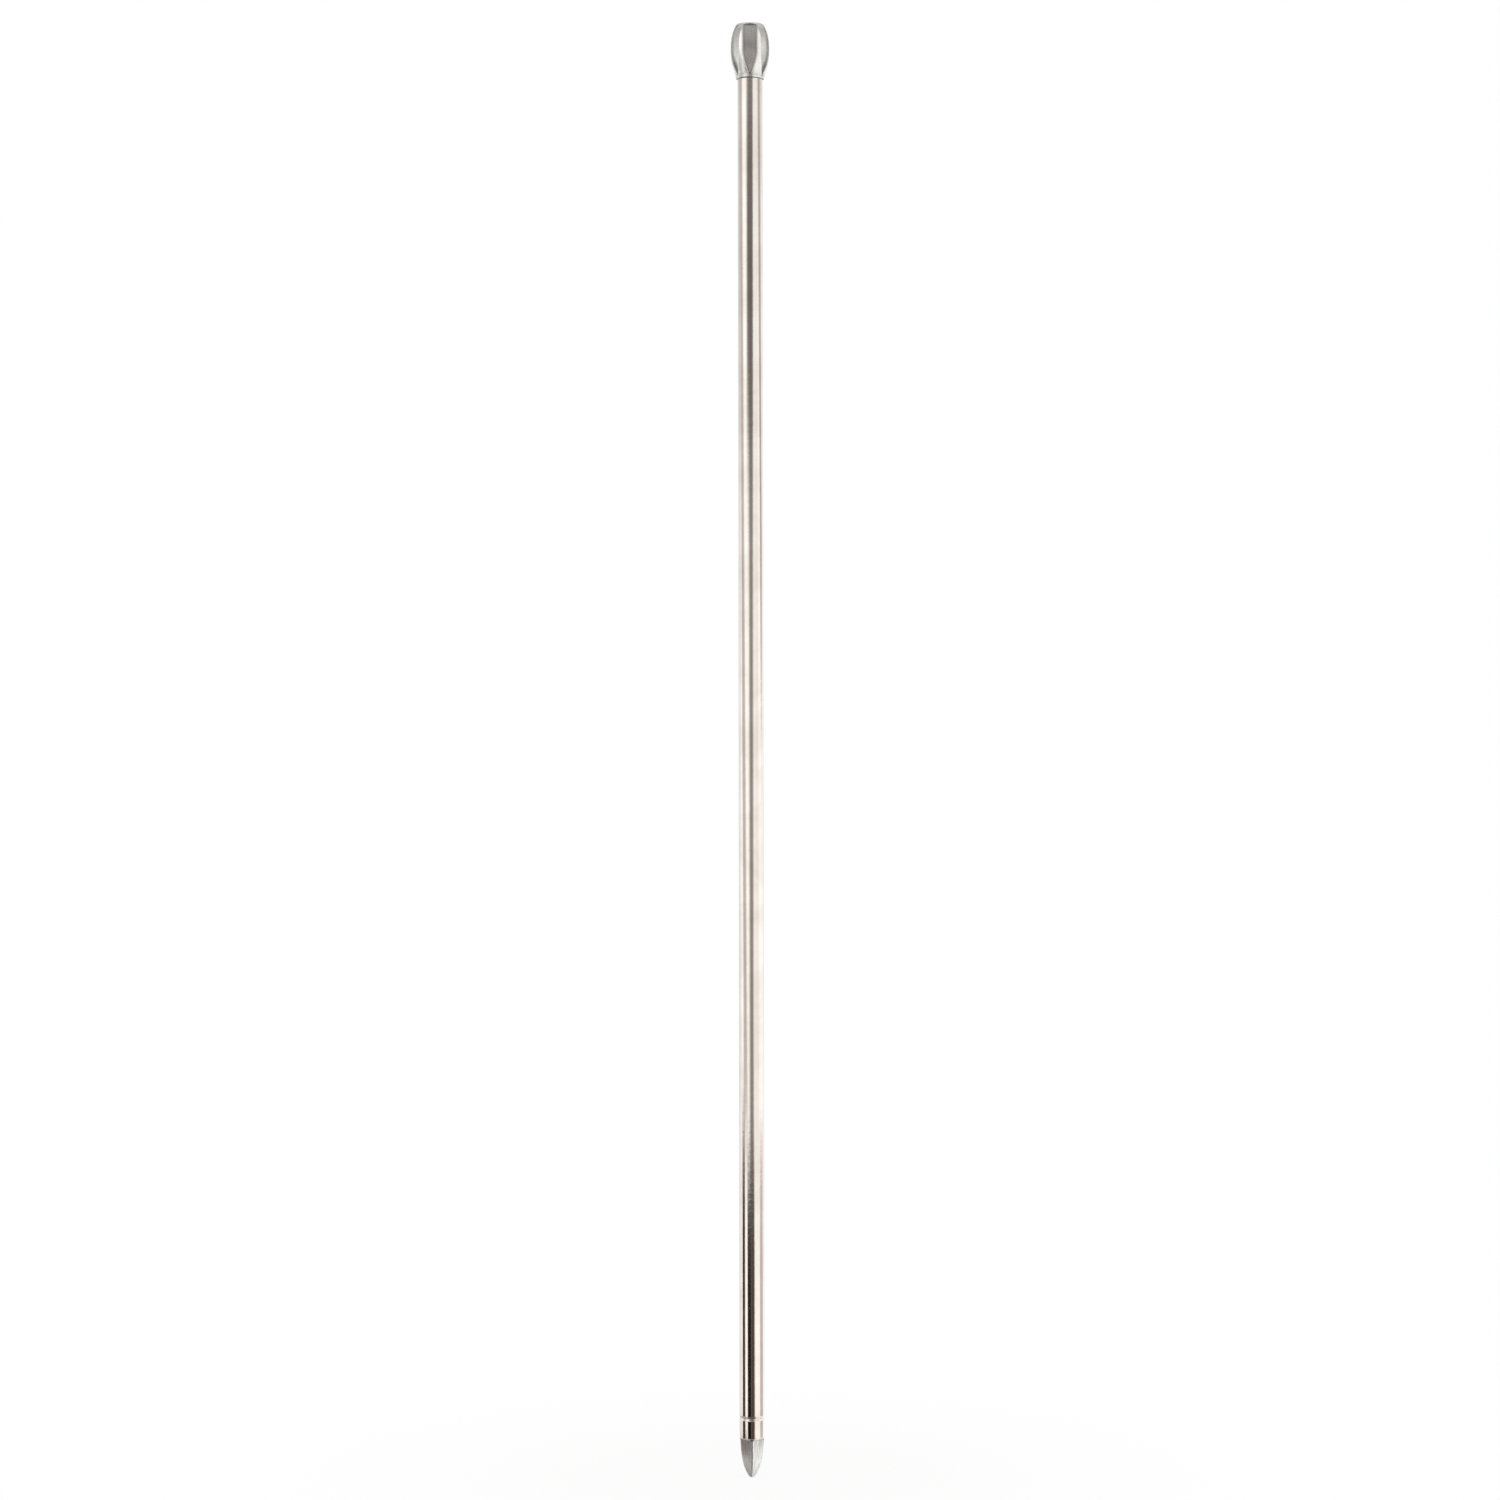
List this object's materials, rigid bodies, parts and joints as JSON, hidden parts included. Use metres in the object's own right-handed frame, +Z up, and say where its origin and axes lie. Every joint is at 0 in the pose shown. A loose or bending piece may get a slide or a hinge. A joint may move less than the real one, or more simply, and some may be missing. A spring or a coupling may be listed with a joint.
{
  "type": "telescopic bank stick",
  "caption": "Slim metal bank stick for fishing: a ribbed barrel head with a threaded socket on a plated tube that draws out of another, over a driven point.",
  "frame": {"origin": "the tip of the point, on the stick's axis", "axes": "+Z up the stick to the head, -Y towards the viewer, facing one of the head's leaves"},
  "size_m": [0.02, 0.0184, 0.75],
  "materials": {
    "nickel_plate": "bright nickel plate",
    "cast_zinc": "satin plated casting",
    "black_acetal": "matt",
    "natural_nylon": "matt",
    "plated_steel": "zinc plated",
    "brass": "turned"
  },
  "bodies": {
    "outer": {"outer_tube": "nickel_plate", "drive_point": "cast_zinc", "guide_bush": "black_acetal"},
    "expander": {"expander": "natural_nylon"},
    "inner": {"head": "cast_zinc", "inner_tube": "nickel_plate", "lock_plug": "black_acetal", "lock_stud": "plated_steel", "stop_nut": "plated_steel"},
    "cone": {"cone_nut": "brass"}
  },
  "joints": [
    {"name": "draw", "type": "slide", "parent": "outer", "child": "expander", "axis": [0, 0, 1], "range_m": [0, 0.6]},
    {"name": "twist", "type": "hinge", "parent": "expander", "child": "inner", "pos_m": [0, 0, 0.7], "axis": [0, 0, 1], "range_deg": [-270, 90]},
    {"name": "cone_rise", "type": "slide", "parent": "expander", "child": "cone", "axis": [0, 0, 1], "range_m": [-0.0002, 0.0006]}
  ],
  "couplings": [
    {"joint": "cone_rise", "follows": "twist", "m_per_rad": -0.00011141}
  ]
}
